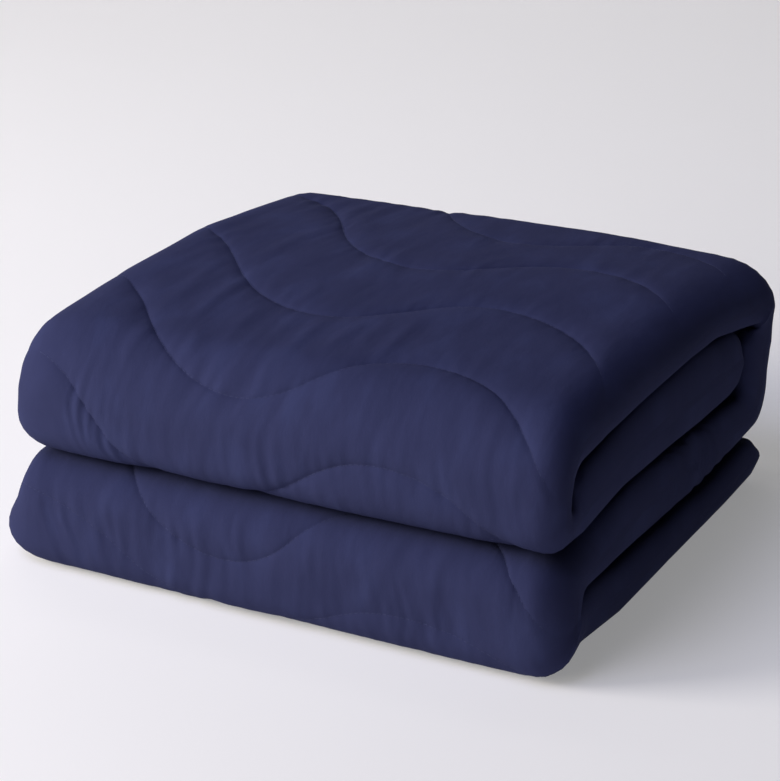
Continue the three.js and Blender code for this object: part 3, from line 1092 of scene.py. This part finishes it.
    def build(self) -> bpy.types.Object:
        """Builds the cover, hides the part that it stands in for and attaches it to the root body.
        """
        grid = self.grid = self._grid()
        normal = self._normals(grid.point)
        height = self.folds.rise(grid, normal[..., 2] ** 2) * self._shown(grid)
        point = grid.point + normal * height[..., None]
        point[..., 2] = np.maximum(point[..., 2], 0.0)
        grid.point = point
        rows, columns = point.shape[:2]
        middles = np.stack([point[0].mean(0), point[-1].mean(0)])
        points = np.concatenate([point.reshape(-1, 3), middles]) * MM
        faces = self._faces(rows, columns)
        made = mesh_object("duvet_cover", points, faces, self.finish.material())
        self._unwrap(made)
        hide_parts("duvet")
        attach(made, "root")
        LOG.info("duvet cover: %d rows of %d points", rows, columns)
        return made

    def _unwrap(self, made: bpy.types.Object) -> None:
        """Gives the cover a UV map in metres, across and along, its under face set beside it."""
        across = self.grid.x + np.where(self.grid.face < 0, 2 * self.stack.width, 0.0)
        uv = np.stack([across, self.grid.along], -1).reshape(-1, 2)
        uv = np.concatenate([uv, uv[:1], uv[-1:]]) * MM
        loops = np.empty(len(made.data.loops), np.int32)
        made.data.loops.foreach_get("vertex_index", loops)
        layer = made.data.uv_layers.new(name="cloth")
        layer.data.foreach_set("uv", uv[loops].astype(np.float32).ravel())


@dataclass
class SeamThread:
    """The thread of the quilting, as short stitches that lie in the creases of the seams.

    A stitch stands proud of the cloth in its middle and dives into it at its ends. A sewn seam is a
    few stitches to the centimetre. These are about half as many, so that they show.
    """

    cover: DuvetCover
    finish: SpunThread
    stitch: float = 4.2
    gap: float = 1.5
    thickness: float = 0.62
    lift: float = 0.25
    dive: float = 0.55
    round_the_rolls: float = 0.7
    sides: int = 6
    rings: tuple[float, ...] = (-0.75, 0.0, 0.75)
    seams: tuple[tuple[int, Face], ...] = (
        (4, Face.UNDER),
        (5, Face.UNDER),
        *((seam, Face.OVER) for seam in range(8, 16)),
    )

    def _stitches(self, point: np.ndarray, normal: np.ndarray) -> np.ndarray:
        """Frames of the stitches along one seam, set at equal lengths.

        Args:
            point: The seam's points.
            normal: The unit normals of the cloth there.

        Returns:
            For each stitch its middle, its direction, its side direction and its normal.
        """
        steps = np.linalg.norm(np.diff(point, axis=0), axis=1)
        length = np.concatenate([[0.0], np.cumsum(steps)])
        place = np.arange(self.stitch, length[-1] - self.stitch, self.stitch + self.gap)

        def read(table: np.ndarray, at: np.ndarray) -> np.ndarray:
            """Reads each column of a table at lengths along the seam."""
            return np.stack([np.interp(at, length, column) for column in table.T], -1)

        start, end = read(point, place - self.stitch / 2), read(point, place + self.stitch / 2)
        direction = end - start
        direction /= np.linalg.norm(direction, axis=1, keepdims=True)
        up = read(normal, place)
        side = np.cross(up, direction)
        side /= np.linalg.norm(side, axis=1, keepdims=True)
        return np.stack([(start + end) / 2, direction, side, np.cross(direction, side)], 1)

    def _spindle(self) -> tuple[np.ndarray, np.ndarray]:
        """One stitch: rings round its length that narrow to a point at each end.

        A ring at a share t of the half length has the thread's radius times the root of 1 - t^4,
        and lies lower by t^2 times the dive.

        Returns:
            The points as (along, side, up), and the faces.
        """
        share = np.array(self.rings)[:, None]
        turn = np.arange(self.sides) * 2.0 * math.pi / self.sides
        radius = self.thickness / 2 * np.sqrt(1.0 - share**4)
        height = self.lift - self.dive * share**2
        along = np.broadcast_to(share * self.stitch / 2, (len(share), self.sides))
        ring = np.stack([along, radius * np.cos(turn), radius * np.sin(turn) + height], -1)
        tip = self.lift - self.dive
        tips = np.array([[-self.stitch / 2, 0.0, tip], [self.stitch / 2, 0.0, tip]])
        first = np.arange(self.sides)
        after = (first + 1) % self.sides
        start = np.arange(len(self.rings) - 1)[:, None] * self.sides
        following = start + self.sides
        band = [start + first, start + after, following + after, following + first]
        last = (len(self.rings) - 1) * self.sides
        low = np.full(self.sides, last + self.sides)
        caps = [
            np.stack([after, first, low, low], -1),
            np.stack([last + first, last + after, low + 1, low + 1], -1),
        ]
        faces = np.concatenate([np.stack(band, -1).reshape(-1, 4), *caps])
        return np.concatenate([ring.reshape(-1, 3), tips]), faces

    def build(self) -> bpy.types.Object:
        """Builds all stitches as one piece."""
        paths = [self.cover.seam_path(*seam, self.round_the_rolls) for seam in self.seams]
        frame = np.concatenate([self._stitches(*path) for path in paths])
        shape, faces = self._spindle()
        points = frame[:, None, 0] + np.einsum("vk,skc->svc", shape, frame[:, 1:])
        points = points.reshape(-1, 3) * MM
        numbers = np.arange(len(frame))[:, None, None] * len(shape) + faces
        made = mesh_object("seam_thread", points, numbers.reshape(-1, 4), self.finish.material())
        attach(made, "root")
        LOG.info("seam thread: %d stitches", len(frame))
        return made


# Floor, light and camera


@dataclass(frozen=True)
class SoftLight:
    """A square soft light: its place, side and aim in metres, its power in watts and its colour."""

    name: str
    place: tuple[float, float, float]
    size: float
    power: float
    aim: tuple[float, float, float] = (0.0, 0.0, 0.1)
    colour: tuple[float, float, float] = (1.0, 1.0, 1.0)


@dataclass
class Studio:
    """A pale sweep, soft lights from the left and front, and the camera at the photograph's angle.

    azimuth_deg and pitch_deg turn the camera round the duvet and raise it. focal_px is its lens for
    a picture of frame_px. aim, with its steps right and up in the picture, is the point it looks
    at, before the base is centred. The sweep's lengths are level and upright, in metres.
    """

    lights: tuple[SoftLight, ...] = (
        SoftLight("window", (-3.0, -1.9, 1.5), 1.4, 120.0, colour=(1.04, 1.0, 0.88)),
        SoftLight("front", (-1.2, -3.15, 1.26), 2.2, 44.0, colour=(1.04, 1.0, 0.9)),
        SoftLight("ceiling", (-1.2, -1.5, 3.05), 2.4, 46.0, colour=(0.91, 0.97, 1.36)),
        SoftLight("wall", (-1.0, 1.0, 3.0), 2.0, 18.0, aim=(-1.4, 3.6, 1.0)),
    )
    air_colour: str = "e8ebf2"
    air_strength: float = 0.004
    paper: MattePaper = field(default_factory=MattePaper)
    sweep_near: float = -4.0
    sweep_far: float = 2.6
    sweep_bend: float = 1.2
    sweep_bend_steps: int = 24
    sweep_height: float = 3.4
    sweep_half_width: float = 5.0
    azimuth_deg: float = 27.5
    pitch_deg: float = 22.07
    focal_px: float = 2482.0
    frame_px: tuple[int, int] = (780, 781)
    distance: float = 2.4045
    aim: tuple[float, float, float] = (0.0, 0.0, 0.11)
    aim_right: float = -0.0144
    aim_up: float = 0.018
    sensor_mm: float = 36.0

    def back(self) -> Vector:
        """Unit vector from the object to the camera."""
        turn, rise = math.radians(self.azimuth_deg), math.radians(self.pitch_deg)
        level = math.cos(rise)
        return Vector((math.sin(turn) * level, -math.cos(turn) * level, math.sin(rise)))

    def camera(self) -> bpy.types.Object:
        """Adds the camera, with a lens as long as the photograph's."""
        back = self.back()
        turned = (-back).to_track_quat("-Z", "Y")
        right, up = turned @ Vector((1, 0, 0)), turned @ Vector((0, 1, 0))
        data = bpy.data.cameras.new("camera")
        data.sensor_fit = "HORIZONTAL"
        data.sensor_width = self.sensor_mm
        data.lens = self.focal_px * self.sensor_mm / self.frame_px[0]
        camera = bpy.data.objects.new("camera", data)
        target = Vector(self.aim) - Vector((*MIDDLE, 0.0)) * MM
        target += right * self.aim_right + up * self.aim_up
        camera.location = target + back * self.distance
        camera.rotation_mode = "QUATERNION"
        camera.rotation_quaternion = turned
        bpy.context.scene.collection.objects.link(camera)
        bpy.context.scene.camera = camera
        return camera

    def sweep(self) -> bpy.types.Object:
        """Lays the paper: a level floor that turns up behind the object in one round bend.

        The profile, carried straight across, is level, then a quarter circle, then upright.
        """
        far, bend, half = self.sweep_far, self.sweep_bend, self.sweep_half_width
        angle = np.linspace(0.0, math.pi / 2, self.sweep_bend_steps + 1)
        run = np.concatenate([[self.sweep_near], far + bend * np.sin(angle), [far + bend]])
        rise = np.concatenate([[0.0], bend * (1 - np.cos(angle)), [self.sweep_height]])
        turn = math.radians(self.azimuth_deg)
        away = np.array([-math.sin(turn), math.cos(turn)])
        side = np.array([[-half], [half]]) * np.array([math.cos(turn), math.sin(turn)])
        flat = run[:, None, None] * away + side
        lift = np.broadcast_to(rise[:, None, None], (len(run), 2, 1))
        points = np.concatenate([flat, lift], -1)
        i = np.arange(len(run) - 1)[:, None] * 2
        faces = i + np.array([0, 1, 3, 2])
        made = mesh_object("paper_sweep", points.reshape(-1, 3), faces, self.paper.material())
        return made

    def light(self, lamp: SoftLight) -> None:
        """Adds one square soft light."""
        data = bpy.data.lights.new(lamp.name, "AREA")
        data.shape, data.size = "SQUARE", lamp.size
        data.energy, data.color = lamp.power, lamp.colour
        made = bpy.data.objects.new(lamp.name, data)
        made.location = lamp.place
        made.rotation_mode = "QUATERNION"
        heading = Vector(lamp.aim) - Vector(lamp.place)
        made.rotation_quaternion = heading.to_track_quat("-Z", "Y")
        bpy.context.scene.collection.objects.link(made)

    def air(self) -> None:
        """Sets the even light of the room."""
        world = bpy.data.worlds.new("room")
        world.use_nodes = True
        room = world.node_tree.nodes["Background"]
        room.inputs["Color"].default_value = linear(self.air_colour)
        room.inputs["Strength"].default_value = self.air_strength
        bpy.context.scene.world = world

    def build(self) -> None:
        """Sets up floor, lights and camera."""
        self.sweep()
        self.camera()
        for lamp in self.lights:
            self.light(lamp)
        self.air()
        bpy.context.scene.view_settings.view_transform = "Standard"
        LOG.info("studio: sweep, %d lights and camera", len(self.lights))


def main() -> None:
    """Builds the duvet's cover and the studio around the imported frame."""
    logging.basicConfig(level=logging.INFO, format="%(name)s: %(message)s")
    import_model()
    stack = FoldedStack()
    quilting = Quilting(length=stack.path.length)
    cover = DuvetCover(stack, quilting, BrushedMicrofibre())
    cover.build()
    SeamThread(cover, SpunThread()).build()
    Studio().build()


if __name__ == "__main__":
    main()
